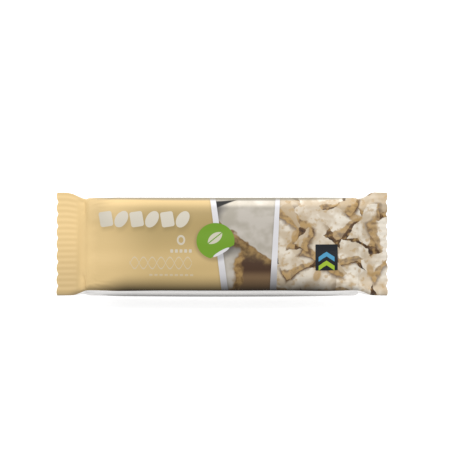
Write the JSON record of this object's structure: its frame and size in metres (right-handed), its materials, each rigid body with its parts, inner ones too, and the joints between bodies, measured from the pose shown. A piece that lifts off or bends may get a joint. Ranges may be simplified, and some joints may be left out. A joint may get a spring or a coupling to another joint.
{
  "type": "wrapped nougat bar",
  "caption": "Flat nougat bar sealed in a printed flow wrap, with ribbed end seals cut to a scalloped edge and a fin seal folded on the back.",
  "frame": {"origin": "on the table under the middle of the pack, which lies on its back", "axes": "+X along the pack from the plain printed end to the pictured end, +Z out of the printed face"},
  "size_m": [0.15, 0.0492, 0.012],
  "materials": {
    "printed_film": "satin printed wrapping film, pale gold face, white sides and back"
  },
  "bodies": {
    "root": {"wrapped_bar": "printed_film"}
  },
  "joints": []
}
